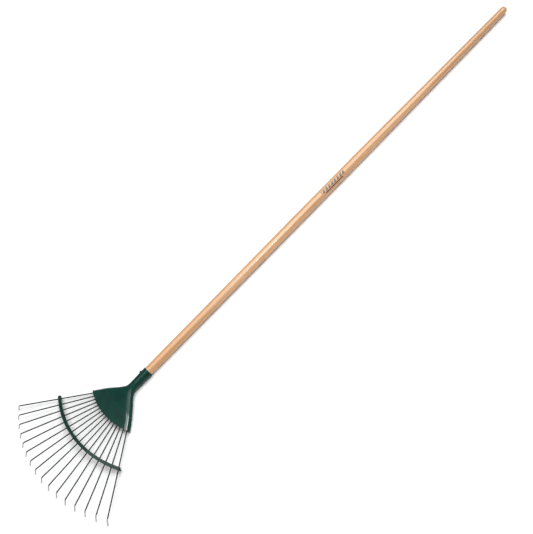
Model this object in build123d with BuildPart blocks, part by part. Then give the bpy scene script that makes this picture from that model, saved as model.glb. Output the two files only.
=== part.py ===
from build123d import *
import os
from math import asin, cos, degrees, radians, sin, sqrt

# Leaf rake lying on the floor: the floor is z = 0, +Y runs from the handle's top end to the tine tips,
# and x = 0 is the middle of the fan. Lengths are in millimetres and angles in degrees.

# Handle, measured from the socket's mouth. Its axis lies level, at the height of its thickest part.
handle_visible = 1418.0
handle_in_socket = 38.0
belly_radius = 13.75
belly_start = 560.0
belly_end = 800.0
shoulder_radius = 12.2
shoulder_chamfer = 1.2
top_radius = 9.6
dome_length = 8.5
end_chamfer = 1.5
lower_profile = [(150.0, 12.5), (300.0, 12.95), (440.0, 13.45)]
upper_profile = [(921.0, 12.95), (1069.0, 11.95), (1220.0, 10.95), (1319.0, 10.25)]

# Fan. It rises from the floor at a small angle, and its own centre is the origin of the fan's plane.
tine_count = 16
wire_radius = 1.6
fan_pitch = 8.0
axis_crossing = 190.6
front_radius = 200.0
front_half_angle = 22.2
front_droop = 3.8
bend_arc_radius = 414.0
bend_arc_centre = -7.0
bend_half_angle = 30.5
bend_droop = 19.5
tip_turn = 60.0
tip_bend_radius = 6.0
hook_bend_radius = 2.5
tine_grip = 34.0
hook_depth = 6.5
place_step = 0.01

# Sheet steel of the head and the plate under it.
sheet = 1.5
socket_mouth = 44.5
mouth_radius = 13.6
neck = 92.0
neck_radius = 12.6
seam_width = 1.2
seam_past_ends = 12.0
lip_depth = 3.6
backing_inner_radius = 158.0
backing_play = 0.1
bore_start = 20.0
bore_end = 125.0
wire_play = 0.15
hook_play = 0.6
handle_play = 0.1
head_depth = 60.0
head_length = 250.0

# Brace across the fan: an inverted channel.
brace_reach = 290.0
brace_half_chord = 138.5
brace_setback = 34.7
brace_droop = 6.75
brace_width = 8.0
brace_height = 6.4
brace_above = 3.4
brace_wall = 1.2
pinch_length = 5.5
pinch_size = 1.8

# Fixing through the socket's side.
screw_from_mouth = 15.6
screw_angle = 70.0
screw_shank_radius = 1.75
screw_length = 16.0
screw_point = 4.0
screw_head_radius = 3.9
screw_head_height = 2.4
screw_slot = 1.0
screw_seat_gap = 0.12


def arc_point(radius, centre, angle, droop, half_angle):
    """A point on an arc in the fan's plane, sagging towards the arc's two ends."""
    across = radius * sin(radians(angle))
    sag = droop * (across / (radius * sin(radians(half_angle)))) ** 2
    return Vector(across, centre + radius * cos(radians(angle)), -sag)


def front_point(place):
    """Where a tine leaves the head; place runs from -1 to 1 across the fan."""
    return arc_point(front_radius, 0, place * front_half_angle, front_droop, front_half_angle)


def bend_point(place):
    """Where a tine turns down."""
    return arc_point(bend_arc_radius, bend_arc_centre, place * bend_half_angle, bend_droop, bend_half_angle)


def fan_plane(origin_y):
    """The fan's plane, with its own +Y towards the tips."""
    height = belly_radius - axis_crossing * sin(radians(fan_pitch))
    upward = (0, -sin(radians(fan_pitch)), cos(radians(fan_pitch)))
    return Plane(origin=(0, origin_y, height), x_dir=(1, 0, 0), z_dir=upward)


def tine_plane(fan, place):
    """The upright plane that holds one tine: x along the wire from the head's front, y up from the wire."""
    start = fan.from_local_coords(front_point(place))
    end = fan.from_local_coords(bend_point(place))
    along = (end - start).normalized()
    left, right = [fan.from_local_coords(bend_point(place + step)) for step in (-place_step, place_step)]
    upward = (right - left).cross(along)
    return Plane(origin=start, x_dir=along, z_dir=along.cross(upward))


def tine_run(place):
    """The length of wire from the head's front to where it turns down."""
    return (bend_point(place) - front_point(place)).length


def tip_direction(side):
    """The direction of a tine's turned-down end."""
    turn = radians(tip_turn)
    return side.x_dir * cos(turn) - side.y_dir * sin(turn)


# The tips are as long as it takes for the two outer ones to reach the floor.
outer_side = tine_plane(fan_plane(0), 1)
outer_bend = outer_side.from_local_coords((tine_run(1), 0))
outer_tip = tip_direction(outer_side)
tip_length = (outer_bend.Z - wire_radius * sqrt(1 - outer_tip.Z**2)) / -outer_tip.Z

# The origin is midway between the handle's top end and the middle tips.
places = [(2 * i - tine_count + 1) / (tine_count - 1) for i in range(tine_count)]
middle = places[tine_count // 2]
middle_side = tine_plane(fan_plane(0), middle)
middle_tip = tip_direction(middle_side)
middle_end = middle_side.from_local_coords((tine_run(middle), 0)) + middle_tip * tip_length
fan_reach = middle_end.Y + wire_radius * sqrt(1 - middle_tip.Y**2)
fan_origin = (handle_visible - socket_mouth - fan_reach) / 2
fan = fan_plane(fan_origin)
mouth_y = fan_origin + socket_mouth
tine_planes = [tine_plane(fan, place) for place in places]


def upright(ahead):
    """The plane across the rake at a distance ahead of the fan's centre: x across, y up."""
    return Plane(origin=(0, fan_origin + ahead, 0), x_dir=(1, 0, 0), z_dir=(0, -1, 0))


def socket_radius(ahead):
    """The socket's outer radius, which narrows evenly from its mouth to the neck."""
    share = (ahead - socket_mouth) / (neck - socket_mouth)
    return mouth_radius + (neck_radius - mouth_radius) * share


# Shape of the pressed sheet from the neck on: distance ahead of the fan's centre, half width, height of
# the crown, height where it is widest, height of its lowest edge, and how far it is from round (0) to a
# crowned plate with its sides turned down (1).
plate_shape = [
    (90.0, 12.6, 26.3, 14.4, 1.4, 0.0),
    (97.0, 12.7, 26.0, 14.4, 2.4, 0.0),
    (104.0, 13.6, 25.4, 13.8, 4.0, 0.1),
    (111.0, 17.8, 24.8, 12.8, 5.6, 0.3),
    (120.0, 25.4, 23.8, 12.6, 7.4, 0.55),
    (135.0, 41.4, 22.3, 11.0, 8.6, 0.85),
    (155.0, 61.6, 21.0, 9.8, 8.6, 1.0),
    (180.0, 83.4, 20.0, 8.6, 8.0, 1.0),
    (215.0, 116.6, 19.4, 8.6, 8.2, 1.0),
]
flange_width = 7.0
flange_share = 0.75
flange_bend = 3.0
round_until = 80.0
loft_step = 8.0
loft_count = 22
arch_step = 10
open_depth = 4.0
least_sag = 0.01


def socket_section(ahead):
    """The socket's round section, in the same terms as the plate's shape."""
    radius = socket_radius(ahead)
    return (ahead, radius, belly_radius + radius, belly_radius, belly_radius - radius, 0.0)


def sheet_section(ahead):
    """The sheet's section at any distance: round, then curving smoothly through the listed ones."""
    if ahead <= round_until:
        return socket_section(ahead)
    rows = [socket_section(round_until - loft_step), socket_section(round_until)] + plate_shape
    i = max(k for k in range(len(rows) - 1) if rows[k][0] <= ahead)
    step = rows[i + 1][0] - rows[i][0]
    t = (ahead - rows[i][0]) / step
    values = [ahead]
    for column in range(1, 6):
        slopes = []
        for k in (i, i + 1):
            before = rows[max(k - 1, 0)]
            after = rows[min(k + 1, len(rows) - 1)]
            slopes.append((after[column] - before[column]) / (after[0] - before[0]) * step)
        start = rows[i][column]
        rise = rows[i + 1][column] - start
        bend = (3 * rise - 2 * slopes[0] - slopes[1]) * t**2 + (slopes[0] + slopes[1] - 2 * rise) * t**3
        values.append(start + slopes[0] * t + bend)
    return values


def flanged_rise(half_width, share):
    """The height of the crowned plate's section, as a share of the whole, at a share of its half width."""
    inward = half_width * (1 - abs(share)) / flange_width
    flange = inward / (1 + inward**flange_bend) ** (1 / flange_bend)
    return flange_share * flange + (1 - flange_share) * (1 - share**2)


def closed_section(ahead, half_width, top, side, bottom, plate_share):
    """One closed section: an arch over the top, and a shallower curve or a flat underneath."""
    arch = []
    for a in range(-90, 91, arch_step):
        share = sin(radians(a))
        rise = (1 - plate_share) * cos(radians(a)) + plate_share * flanged_rise(half_width, share)
        arch.append((half_width * share, side + (top - side) * rise))
    arch[0] = (-half_width, side)
    arch[-1] = (half_width, side)
    with BuildSketch(upright(ahead)) as section:
        with BuildLine():
            Spline(*arch)
            ThreePointArc(arch[-1], (0, bottom), arch[0])
        make_face()
    return section.sketch


def sheet_body(inset, open_below):
    """The solid inside the sheet's outer surface, or inside its inner one when inset by its thickness."""
    sections = []
    for i in range(loft_count):
        ahead, half_width, top, side, lowest, plate_share = sheet_section(socket_mouth + i * loft_step)
        opened = 1 - (side - lowest) / socket_radius(min(ahead, neck))
        side = side - open_below * opened
        lowest = min(lowest + inset * (1 - opened) - open_below * opened, side - least_sag)
        sections.append(closed_section(ahead, half_width - inset, top - inset, side, lowest, plate_share))
    with BuildPart() as body:
        loft(sections)
    return body.part


outer_body = sheet_body(0, 0)
inner_body = sheet_body(sheet, open_depth)

crown_radius = (front_point(1).X ** 2 + front_droop**2) / (2 * front_droop)
across_fan = Plane(origin=fan.origin, x_dir=(1, 0, 0), z_dir=fan.y_dir * -1)


# Clearance for the wires where they pass through the head's front lip and the brace.
with BuildPart() as wire_bores:
    for side in tine_planes:
        with BuildSketch(Plane(origin=side.from_local_coords((-bore_start, 0)), z_dir=side.x_dir)):
            Circle(wire_radius + wire_play)
        extrude(amount=bore_start + bore_end)

# Front lip: the sheet turned down along the plate's front edge.
with BuildPart() as front_lip:
    add(outer_body)
    with BuildSketch(fan):
        Circle(front_radius)
        Circle(front_radius - sheet, mode=Mode.SUBTRACT)
    extrude(amount=head_depth, both=True, mode=Mode.INTERSECT)
    with BuildSketch(across_fan):
        with Locations((0, -crown_radius)):
            Circle(crown_radius - lip_depth)
    extrude(amount=-head_length, mode=Mode.SUBTRACT)

screw_y = mouth_y + screw_from_mouth
screw_out = Vector(sin(radians(screw_angle)), 0, cos(radians(screw_angle)))
screw_seat_radius = socket_radius(socket_mouth + screw_from_mouth) + screw_seat_gap
screw_seat = Plane(origin=Vector(0, screw_y, belly_radius) + screw_out * screw_seat_radius, z_dir=screw_out)

# Head: the crowned sheet, open underneath, with its rolled socket and its seam.
with BuildPart() as head:
    add(outer_body)
    add(inner_body, mode=Mode.SUBTRACT)
    with BuildSketch(fan):
        Circle(front_radius)
    extrude(amount=head_depth, both=True, mode=Mode.INTERSECT)
    add(front_lip.part)
    with BuildSketch(Plane.XY):
        with Locations((0, mouth_y + (neck - socket_mouth) / 2)):
            Rectangle(seam_width, neck - socket_mouth + 2 * seam_past_ends)
    extrude(amount=belly_radius, mode=Mode.SUBTRACT)
    add(wire_bores.part, mode=Mode.SUBTRACT)
    with BuildSketch(screw_seat):
        Circle(screw_shank_radius + wire_play)
    extrude(amount=-2 * sheet, mode=Mode.SUBTRACT)
head.part.label = "head"

# Backing plate: follows the crown just under the wires and fills the plate's width from wall to wall.
with BuildPart() as backing_plate:
    with BuildSketch(across_fan):
        with Locations((0, -crown_radius)):
            Circle(crown_radius - wire_radius - backing_play)
            Circle(crown_radius - wire_radius - backing_play - sheet, mode=Mode.SUBTRACT)
    extrude(amount=-head_length)
    add(inner_body, mode=Mode.INTERSECT)
    with BuildSketch(fan):
        Circle(front_radius - sheet)
        Circle(backing_inner_radius, mode=Mode.SUBTRACT)
    extrude(amount=head_depth, both=True, mode=Mode.INTERSECT)
    for side in tine_planes:
        hook = side.from_local_coords((-tine_grip, 0))
        with BuildSketch(Plane(origin=hook, z_dir=side.y_dir)):
            Circle(wire_radius + hook_play)
        extrude(amount=-2 * hook_depth, mode=Mode.SUBTRACT)
backing_plate.part.label = "backing_plate"

# Tines: hooked at the back, straight, then turned down, each drawn in its own upright plane.
tines = []
for place, side in zip(places, tine_planes):
    turn = radians(tip_turn)
    run = tine_run(place)
    with BuildPart() as tine:
        with BuildLine(side) as wire:
            FilletPolyline(
                (-tine_grip, -hook_depth),
                (-tine_grip, 0),
                (run, 0),
                (run + tip_length * cos(turn), -tip_length * sin(turn)),
                radius=[hook_bend_radius, tip_bend_radius],
            )
        with BuildSketch(Plane(origin=wire.line @ 0, z_dir=wire.line % 0)):
            Circle(wire_radius)
        sweep()
    tine.part.label = f"tine_{len(tines) + 1:02d}"
    tines.append(tine.part)

# Brace: its arc lies in a plane of its own, through the middle of the brace and its two lower ends.
brace_sag = sqrt(brace_setback**2 + brace_droop**2)
brace_arc_radius = (brace_half_chord**2 + brace_sag**2) / (2 * brace_sag)
brace_half_angle = degrees(asin(brace_half_chord / brace_arc_radius))
brace_middle = Vector(0, brace_reach, 0)
brace_centre = brace_middle - Vector(0, brace_setback, brace_droop) * (brace_arc_radius / brace_sag)
brace_normal = Vector(0, -brace_droop, brace_setback)
arc_centre = fan.from_local_coords(brace_centre)
brace_axis = Axis(arc_centre, arc_centre - fan.from_local_coords(brace_centre + brace_normal))
channel_middle = fan.from_local_coords(brace_middle + Vector(0, 0, brace_above - brace_height / 2))
channel = Plane(origin=channel_middle, x_dir=fan.y_dir, z_dir=(1, 0, 0))
with BuildPart() as brace_tip:
    with BuildSketch(channel):
        Rectangle(brace_width, brace_height)
    with BuildSketch(channel.offset(pinch_length)):
        with Locations(((brace_width - pinch_size) / 2, (pinch_size - brace_height) / 2)):
            Rectangle(pinch_size, pinch_size)
    loft()
with BuildPart() as brace:
    with BuildSketch(channel):
        Rectangle(brace_width, brace_height)
        with Locations((0, -brace_wall)):
            Rectangle(brace_width - 2 * brace_wall, brace_height, mode=Mode.SUBTRACT)
    revolve(axis=brace_axis, revolution_arc=brace_half_angle)
    add(brace_tip.part.rotate(brace_axis, brace_half_angle))
    mirror(about=Plane.YZ)
    add(wire_bores.part, mode=Mode.SUBTRACT)
brace.part.label = "brace"

# Screw: a slotted dome head against the socket's side, and a pointed shank in the wood.
with BuildPart() as socket_screw:
    side_view = Plane(origin=screw_seat.origin, x_dir=(0, 1, 0), z_dir=Vector(0, 1, 0).cross(screw_out))
    with BuildSketch(side_view):
        with BuildLine():
            Polyline(
                (0, screw_head_height),
                (0, -screw_length),
                (screw_shank_radius, screw_point - screw_length),
                (screw_shank_radius, 0),
                (screw_head_radius, 0),
            )
            Spline((screw_head_radius, 0), (0, screw_head_height), tangents=[(0, 1), (-1, 0)])
        make_face()
    revolve(axis=Axis(screw_seat.origin, screw_out))
    with BuildSketch(screw_seat.offset(screw_head_height)):
        Rectangle(screw_slot, 4 * screw_head_radius)
    extrude(amount=-screw_slot, mode=Mode.SUBTRACT)
socket_screw.part.label = "socket_screw"

# Handle: turned with a slight barrel shape, a chamfered shoulder at the socket's mouth and a domed top end.
with BuildPart() as handle:
    lathe = Plane(origin=(0, mouth_y, belly_radius), x_dir=(0, -1, 0), z_dir=(-1, 0, 0))
    fitted = [socket_radius(socket_mouth + d) - sheet - handle_play for d in (handle_in_socket, 0)]
    dome_start = handle_visible - dome_length
    with BuildSketch(lathe):
        with BuildLine():
            Polyline(
                (handle_visible, 0),
                (-handle_in_socket, 0),
                (-handle_in_socket, fitted[0] - end_chamfer),
                (end_chamfer - handle_in_socket, fitted[0]),
                (0, fitted[1]),
                (shoulder_chamfer, shoulder_radius),
            )
            Spline(
                (shoulder_chamfer, shoulder_radius),
                *lower_profile,
                (belly_start, belly_radius),
                tangents=[(1, 0.001), (1, 0)],
            )
            Line((belly_start, belly_radius), (belly_end, belly_radius))
            Spline(
                (belly_end, belly_radius),
                *upper_profile,
                (dome_start, top_radius),
                tangents=[(1, 0), (1, -0.008)],
            )
            EllipticalCenterArc((dome_start, 0), dome_length, top_radius, start_angle=0, arc_size=90)
        make_face()
    revolve(axis=Axis(lathe.origin, (0, 1, 0)))
    add(socket_screw.part, mode=Mode.SUBTRACT)
handle.part.label = "handle"

os.makedirs("parts", exist_ok=True)
pieces = [handle.part, head.part, backing_plate.part, brace.part, socket_screw.part] + tines
for piece in pieces:
    export_step(piece, f"parts/{piece.label}.step")
print("fan centre y", round(fan_origin, 2), "z", round(fan.origin.Z, 2), "tip length", round(tip_length, 2))
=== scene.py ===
"""Looks for the leaf rake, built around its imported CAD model. Lengths are metres, and angles degrees."""
import math

import bpy
from mathutils import Matrix, Vector


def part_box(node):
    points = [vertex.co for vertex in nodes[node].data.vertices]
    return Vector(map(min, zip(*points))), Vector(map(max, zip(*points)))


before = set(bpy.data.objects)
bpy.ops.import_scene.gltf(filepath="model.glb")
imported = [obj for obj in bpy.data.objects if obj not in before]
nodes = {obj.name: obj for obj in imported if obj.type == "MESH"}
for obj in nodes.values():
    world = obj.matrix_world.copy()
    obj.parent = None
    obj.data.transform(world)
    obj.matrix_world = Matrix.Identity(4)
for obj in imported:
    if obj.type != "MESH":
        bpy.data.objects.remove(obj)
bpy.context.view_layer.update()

TINES = [f"tine_{i:02d}" for i in range(1, 17)]

# Landmarks from the frame: +Y runs from the handle's top end to the tine tips.
handle_low, handle_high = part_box("handle")
head_low, head_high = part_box("head")
brace_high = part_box("brace")[1]
TOP_Y = handle_low.y
MOUTH_Y = head_low.y
# The handle rests on the floor, so its axis is as high as its largest radius.
AXIS_HEIGHT = (handle_low.z + handle_high.z) / 2
# The wires bend down along an arc with this centre and radius.
BEND_CENTRE_Y = 0.4719
BEND_ARC = 0.4105


# ---------------------------------------------------------------- camera
CAMERA_PLACE = Vector((-1.0340, 0.4128, 1.6365))
VIEW_AZIMUTH = 106.26
VIEW_DOWN = 57.32
VIEW_ROLL = 31.83
LENS_MM = 49.79
SENSOR_MM = 36


def add_camera():
    azimuth, down, roll = (math.radians(a) for a in (VIEW_AZIMUTH, VIEW_DOWN, VIEW_ROLL))
    forward = Vector(
        (math.sin(azimuth) * math.cos(down), math.cos(azimuth) * math.cos(down), -math.sin(down))
    )
    level = forward.cross(Vector((0, 0, 1))).normalized()
    upright = level.cross(forward)
    up = upright * math.cos(roll) + level * math.sin(roll)
    right = forward.cross(up)
    turn = Matrix((right, up, -forward)).transposed()
    data = bpy.data.cameras.new("camera")
    data.lens = LENS_MM
    data.sensor_width = SENSOR_MM
    camera = bpy.data.objects.new("camera", data)
    camera.matrix_world = Matrix.Translation(CAMERA_PLACE) @ turn.to_4x4()
    bpy.context.scene.collection.objects.link(camera)
    bpy.context.scene.camera = camera


add_camera()


# ---------------------------------------------------------------- shader helpers
class Shader:
    """A material under construction: adds nodes, links and sockets in short calls."""

    def __init__(self, name):
        self.material = bpy.data.materials.new(name)
        self.material.use_nodes = True
        self.tree = self.material.node_tree
        self.surface = self.tree.nodes["Principled BSDF"]
        self.place = self.add("ShaderNodeTexCoord").outputs["Object"]

    def add(self, kind, **settings):
        node = self.tree.nodes.new(kind)
        for key, value in settings.items():
            setattr(node, key, value)
        return node

    def feed(self, socket, value):
        if isinstance(value, bpy.types.NodeSocket):
            self.tree.links.new(value, socket)
        else:
            socket.default_value = value

    def set(self, **sockets):
        """Feeds the surface's inputs, which are named with _ for a space."""
        for key, value in sockets.items():
            self.feed(self.surface.inputs[key.replace("_", " ")], value)

    def math(self, operation, a, b=0.0):
        node = self.add("ShaderNodeMath", operation=operation)
        self.feed(node.inputs[0], a)
        self.feed(node.inputs[1], b)
        return node.outputs[0]

    def stretch(self, scale):
        """The place in the object, scaled along each axis."""
        node = self.add("ShaderNodeMapping")
        self.feed(node.inputs["Vector"], self.place)
        node.inputs["Scale"].default_value = scale
        return node.outputs[0]

    def noise(self, scale, detail=3.0, roughness=0.5, place=None):
        node = self.add("ShaderNodeTexNoise")
        self.feed(node.inputs["Vector"], place or self.place)
        node.inputs["Scale"].default_value = scale
        node.inputs["Detail"].default_value = detail
        node.inputs["Roughness"].default_value = roughness
        return node.outputs["Fac"]

    def remap(self, value, low, high, to_low=0.0, to_high=1.0):
        """A smooth step between two values, which falls where low is above high."""
        node = self.add("ShaderNodeMapRange", interpolation_type="SMOOTHSTEP")
        self.feed(node.inputs["Value"], value)
        ends = {"From Min": low, "From Max": high, "To Min": to_low, "To Max": to_high}
        for key, number in ends.items():
            node.inputs[key].default_value = number
        return node.outputs["Result"]

    def mix(self, share, a, b):
        node = self.add("ShaderNodeMix", data_type="RGBA")
        self.feed(node.inputs["Factor"], share)
        self.feed(node.inputs["A"], a)
        self.feed(node.inputs["B"], b)
        return node.outputs["Result"]

    def layer(self, under, mask, strength, over):
        """One colour laid over another where the mask is set, up to a given strength."""
        return self.mix(self.math("MULTIPLY", mask, strength), under, over)

    def axes(self):
        node = self.add("ShaderNodeSeparateXYZ")
        self.feed(node.inputs[0], self.place)
        return node.outputs

    def bump(self, height, distance, strength):
        node = self.add("ShaderNodeBump")
        node.inputs["Strength"].default_value = strength
        node.inputs["Distance"].default_value = distance
        self.feed(node.inputs["Height"], height)
        return node.outputs["Normal"]


def rgb(red, green, blue):
    """Display values from 0 to 255 as a linear colour."""
    linear = []
    for value in (red, green, blue):
        v = value / 255
        linear.append(v / 12.92 if v <= 0.04045 else ((v + 0.055) / 1.055) ** 2.4)
    return (*linear, 1.0)


# ---------------------------------------------------------------- wood
ASH_PALE = rgb(205, 163, 121)
ASH_STREAK = rgb(188, 141, 96)
ASH_LATE_WOOD = rgb(158, 106, 60)
ASH_FIBRE = rgb(170, 122, 78)
ASH_PORE = rgb(118, 76, 42)
ASH_TANNED = rgb(168, 118, 68)
ASH_WARM = rgb(196, 140, 84)
ASH_CUT = rgb(205, 186, 146)
INK = rgb(24, 22, 22)

# The growth rings lie round a line beside and above the handle's axis.
PITH_X = -0.021
PITH_Z = 0.034
PITH_WANDER = 0.010
RINGS_PER_METRE = 330

# The wood is darker over this length at the top end, and warmer over this length at the socket.
TANNED_LENGTH = 0.50
TANNED_FULLY = 0.05
WARM_LENGTH = 0.30
WARM_FULLY = 0.02
# The chamfered shoulder at the socket's mouth shows pale cut wood.
CUT_FROM = 0.0022
CUT_FULLY = 0.0010

# The printed mark: where it is along and round the handle, and the sizes of its bar and its line.
MARK_FROM_MOUTH = 0.692
MARK_TURN = 32
MARK_WEAR = 0.0006
MARK_EDGE = 0.0002
BLOCKS_PER_METRE = 92
BLOCK_SLANT = 0.6
BAR_ROUND, BAR_HALF_LENGTH, BAR_HALF_HEIGHT = 0.0026, 0.044, 0.0042
LINE_ROUND, LINE_HALF_LENGTH, LINE_HALF_HEIGHT = -0.0052, 0.033, 0.0014


def ash_wood():
    """Varnished ash: straight pale grain, darker late-wood bands, fine pores and a plain printed mark."""
    s = Shader("ash_wood")
    x, y, z = s.axes()
    wander = s.noise(1.0, 2, place=s.stretch((14, 2.2, 14)))
    sweep = s.math("MULTIPLY", s.math("SUBTRACT", wander, 0.5), PITH_WANDER)
    across = s.math("ADD", s.math("SUBTRACT", x, PITH_X), sweep)
    deep = s.math("SUBTRACT", z, PITH_Z)
    squares = s.math("ADD", s.math("MULTIPLY", across, across), s.math("MULTIPLY", deep, deep))
    ring = s.math("FRACT", s.math("MULTIPLY", s.math("SQRT", squares), RINGS_PER_METRE))
    late = s.math("MULTIPLY", s.remap(ring, 0.55, 0.97), s.remap(ring, 1.0, 0.97))
    fibre = s.noise(1.0, 4, 0.6, place=s.stretch((900, 16, 900)))
    streak = s.noise(1.0, 3, 0.55, place=s.stretch((160, 3.0, 160)))
    pores = s.remap(s.noise(1.0, 2, 0.7, place=s.stretch((1500, 45, 1500))), 0.62, 0.75)
    tanned = s.remap(y, TOP_Y + TANNED_LENGTH, TOP_Y + TANNED_FULLY)
    warm = s.remap(y, MOUTH_Y - WARM_LENGTH, MOUTH_Y - WARM_FULLY)
    cut = s.remap(y, MOUTH_Y - CUT_FROM, MOUTH_Y - CUT_FULLY)
    colour = s.mix(s.remap(streak, 0.3, 0.72), ASH_PALE, ASH_STREAK)
    colour = s.layer(colour, late, 0.42, ASH_LATE_WOOD)
    colour = s.layer(colour, s.remap(fibre, 0.35, 0.75), 0.28, ASH_FIBRE)
    colour = s.layer(colour, pores, 0.30, ASH_PORE)
    colour = s.layer(colour, tanned, 0.5, ASH_TANNED)
    colour = s.layer(colour, warm, 0.35, ASH_WARM)
    colour = s.layer(colour, cut, 0.8, ASH_CUT)
    colour = s.layer(colour, printed_mark(s, x, y, z), 0.93, INK)
    height = s.math("ADD", s.math("MULTIPLY", fibre, 0.5), s.math("MULTIPLY", late, 0.25))
    s.set(
        Base_Color=colour,
        Roughness=s.remap(streak, 0.2, 0.8, 0.36, 0.48),
        Normal=s.bump(height, distance=0.00012, strength=0.5),
        Coat_Weight=0.6,
        Coat_Roughness=0.12,
    )
    return s.material


def printed_mark(s, x, y, z):
    """A plain mark: a bar of slanted blocks over a thin line, on the side that faces the camera."""
    turn = s.math("ARCTAN2", x, s.math("SUBTRACT", z, AXIS_HEIGHT))
    round_it = s.math("MULTIPLY", s.math("ADD", turn, math.radians(MARK_TURN)), AXIS_HEIGHT)
    along = s.math("SUBTRACT", y, MOUTH_Y - MARK_FROM_MOUTH)
    worn = s.math("MULTIPLY", s.math("SUBTRACT", s.noise(1800, 3, 0.7), 0.5), MARK_WEAR)
    round_worn = s.math("ADD", round_it, worn)
    slanted = s.math("ADD", along, s.math("MULTIPLY", round_it, BLOCK_SLANT))
    block = s.math("FRACT", s.math("MULTIPLY", slanted, BLOCKS_PER_METRE))
    blocks = s.math("MULTIPLY", s.remap(block, 0.0, 0.04), s.remap(block, 0.74, 0.70))
    bar = s.math(
        "MULTIPLY",
        inside(s, along, BAR_HALF_LENGTH),
        inside(s, s.math("SUBTRACT", round_worn, BAR_ROUND), BAR_HALF_HEIGHT),
    )
    line = s.math(
        "MULTIPLY",
        inside(s, along, LINE_HALF_LENGTH),
        inside(s, s.math("SUBTRACT", round_worn, LINE_ROUND), LINE_HALF_HEIGHT),
    )
    return s.math("MAXIMUM", s.math("MULTIPLY", bar, blocks), line)


def inside(s, value, half):
    """1 where the value is within half of zero, with a slightly soft edge."""
    return s.remap(s.math("ABSOLUTE", value), half + MARK_EDGE, half - MARK_EDGE)


# ---------------------------------------------------------------- enamel and wire
# The enamel has run towards the head's front corners, and is thicker and glossier there.
RUN_FROM_FRONT = 0.048
RUN_FADE = 0.008
THIN_COAT = 0.12
RUN_COAT = 0.9
ENAMEL_FLECK = rgb(26, 72, 62)

WIRE_PAINT = rgb(10, 34, 29)
WIRE_PAINT_DARK = rgb(6, 26, 22)
# Painted highlight on the tips: a pale metallic grey with darker streaks, for the light that the bent-down
# tips catch.
TIP_HIGHLIGHT_GREY = rgb(196, 197, 196)
TIP_HIGHLIGHT_STREAK_GREY = rgb(150, 151, 150)
# How far the edge of the painted highlight on the tips wanders at the bend, and how wide it fades.
HIGHLIGHT_EDGE_WANDER = 0.003
HIGHLIGHT_EDGE_FADE = 0.0006


def green_enamel(name, base, dark, roughness, glossy_from):
    """Semi-gloss enamel on pressed steel, with faint orange peel, and a thicker gloss where it has run."""
    s = Shader(name)
    y = s.axes()[1]
    cloud = s.noise(38, 3, 0.6)
    fine = s.noise(900, 2, 0.5)
    peel = s.noise(420, 2, 0.5)
    colour = s.mix(s.remap(cloud, 0.35, 0.7), base, dark)
    colour = s.layer(colour, s.remap(fine, 0.55, 0.8), 0.2, ENAMEL_FLECK)
    s.set(
        Base_Color=colour,
        Roughness=s.remap(cloud, 0.3, 0.7, roughness, roughness + 0.1),
        Normal=s.bump(peel, distance=0.0002, strength=0.35),
        Specular_IOR_Level=0.12,
        Coat_Weight=s.remap(y, glossy_from, glossy_from + RUN_FADE, THIN_COAT, RUN_COAT),
        Coat_Roughness=0.03,
    )
    return s.material


def tine_finish():
    """Enamelled spring wire, pale metallic grey from the bend to the tip: a painted highlight for the
    light that the bent-down tips catch.
    """
    s = Shader("tine_finish")
    x, y, _ = s.axes()
    ahead = s.math("SUBTRACT", y, BEND_CENTRE_Y)
    squares = s.math("ADD", s.math("MULTIPLY", x, x), s.math("MULTIPLY", ahead, ahead))
    reach = s.math("SQRT", squares)
    wander = s.math("SUBTRACT", s.noise(600, 3, 0.6), 0.5)
    ragged = s.math("ADD", reach, s.math("MULTIPLY", wander, HIGHLIGHT_EDGE_WANDER))
    # Mask of the painted highlight, from the bend to the tip.
    tip_highlight = s.remap(ragged, BEND_ARC - HIGHLIGHT_EDGE_FADE, BEND_ARC + HIGHLIGHT_EDGE_FADE)
    cloud = s.noise(90, 3)
    paint = s.mix(s.remap(cloud, 0.35, 0.7), WIRE_PAINT, WIRE_PAINT_DARK)
    # Darker streaks within the tips' painted highlight.
    highlight_streaks = s.noise(1.0, 4, 0.7, place=s.stretch((1800, 1800, 300)))
    # The colour of the tips' painted highlight.
    steel = s.mix(s.remap(highlight_streaks, 0.3, 0.7), TIP_HIGHLIGHT_GREY, TIP_HIGHLIGHT_STREAK_GREY)
    height = s.math("ADD", s.noise(700, 2), s.math("MULTIPLY", tip_highlight, -0.6))
    s.set(
        Base_Color=s.mix(tip_highlight, paint, steel),
        Metallic=s.math("MULTIPLY", tip_highlight, 0.85),
        Roughness=s.remap(tip_highlight, 0, 1, 0.34, 0.42),
        Normal=s.bump(height, distance=0.00012, strength=0.4),
        Specular_IOR_Level=0.25,
    )
    return s.material


GLOSSY_FROM = head_high.y - RUN_FROM_FRONT
HEAD_PAINT = green_enamel("head_enamel", rgb(13, 54, 46), rgb(9, 45, 39), 0.26, GLOSSY_FROM)
SCREW_PAINT = green_enamel("screw_enamel", rgb(14, 50, 43), rgb(10, 42, 37), 0.28, GLOSSY_FROM)
# The brace has no run, so its glossy part would only begin where the brace ends.
BRACE_PAINT = green_enamel("brace_enamel", rgb(12, 47, 39), rgb(8, 39, 33), 0.30, brace_high.y)
WOOD = ash_wood()
WIRE = tine_finish()

FINISHES = {
    "handle": WOOD,
    "head": HEAD_PAINT,
    "backing_plate": HEAD_PAINT,
    "brace": BRACE_PAINT,
    "socket_screw": SCREW_PAINT,
}
for tine in TINES:
    FINISHES[tine] = WIRE
for name, material in FINISHES.items():
    nodes[name].material_slots[0].material = material


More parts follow.
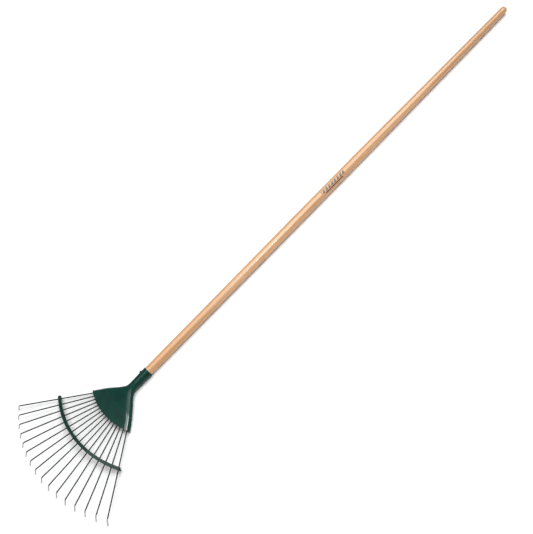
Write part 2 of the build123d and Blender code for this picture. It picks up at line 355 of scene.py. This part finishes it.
# ---------------------------------------------------------------- floor and light
FLOOR_HALF = 40.0
FLOOR_DULL = (0.83, 0.83, 0.83, 1)
FLOOR_BRIGHT = (0.85, 0.85, 0.85, 1)


def add_floor():
    """A plain pale floor, wide enough to fill the camera's view."""
    mesh = bpy.data.meshes.new("floor")
    half = FLOOR_HALF
    corners = [(-half, -half, 0), (half, -half, 0), (half, half, 0), (-half, half, 0)]
    mesh.from_pydata(corners, [], [(0, 1, 2, 3)])
    floor = bpy.data.objects.new("floor", mesh)
    bpy.context.scene.collection.objects.link(floor)
    s = Shader("floor_white")
    tint = s.remap(s.noise(3, 2), 0.3, 0.7)
    s.set(Base_Color=s.mix(tint, FLOOR_DULL, FLOOR_BRIGHT), Roughness=0.9)
    mesh.materials.append(s.material)


def add_area(name, place, target, size, watts):
    """A rectangular light at a place, turned to face its target."""
    data = bpy.data.lights.new(name, "AREA")
    data.shape = "RECTANGLE"
    data.size, data.size_y = size
    data.energy = watts
    light = bpy.data.objects.new(name, data)
    light.location = place
    light.rotation_euler = (Vector(target) - Vector(place)).to_track_quat("-Z", "Y").to_euler()
    bpy.context.scene.collection.objects.link(light)


def add_sun(name, strength, spread, towards):
    """A far light of a given angular width, even over the whole rake."""
    data = bpy.data.lights.new(name, "SUN")
    data.energy = strength
    data.angle = math.radians(spread)
    light = bpy.data.objects.new(name, data)
    light.rotation_euler = Vector(towards).to_track_quat("Z", "Y").to_euler()
    bpy.context.scene.collection.objects.link(light)


def add_world(strength):
    world = bpy.data.worlds.new("studio")
    world.use_nodes = True
    background = world.node_tree.nodes["Background"]
    background.inputs["Color"].default_value = (1, 1, 1, 1)
    background.inputs["Strength"].default_value = strength
    bpy.context.scene.world = world


add_floor()
add_world(strength=0.14)
add_sun("overhead", strength=3.6, spread=58, towards=(0.05, -0.35, 1))
add_area("long_strip", place=(-1.35, -0.6, 2.2), target=(0, -0.6, 0), size=(2.6, 0.2), watts=9)
add_area(
    "edge_light", place=(-0.56, -0.20, 1.65), target=(-0.064, 0.648, 0), size=(0.32, 0.32), watts=6
)
bpy.context.scene.view_settings.view_transform = "Standard"
